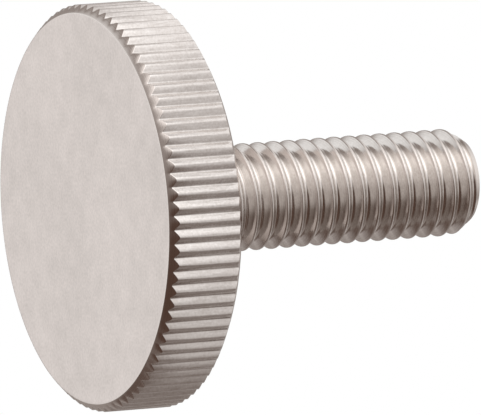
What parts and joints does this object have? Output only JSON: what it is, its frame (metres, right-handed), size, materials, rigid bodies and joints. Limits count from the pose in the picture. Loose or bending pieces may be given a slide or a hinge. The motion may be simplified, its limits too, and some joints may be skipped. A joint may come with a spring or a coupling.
{
  "type": "thumb screw",
  "caption": "Flat thumb screw: a round head with a straight-knurled rim on a threaded shank, turned by hand to clamp, lock or adjust a part.",
  "frame": {"origin": "centre of the head's flat face, which is the face it stands on", "axes": "+Z along the shank, from the head to the tip"},
  "size_m": [0.03, 0.03, 0.031],
  "materials": {
    "stainless_steel": "plain turned stainless steel, satin, a little warm"
  },
  "bodies": {
    "root": {"thumb_screw": "stainless_steel"}
  },
  "joints": []
}
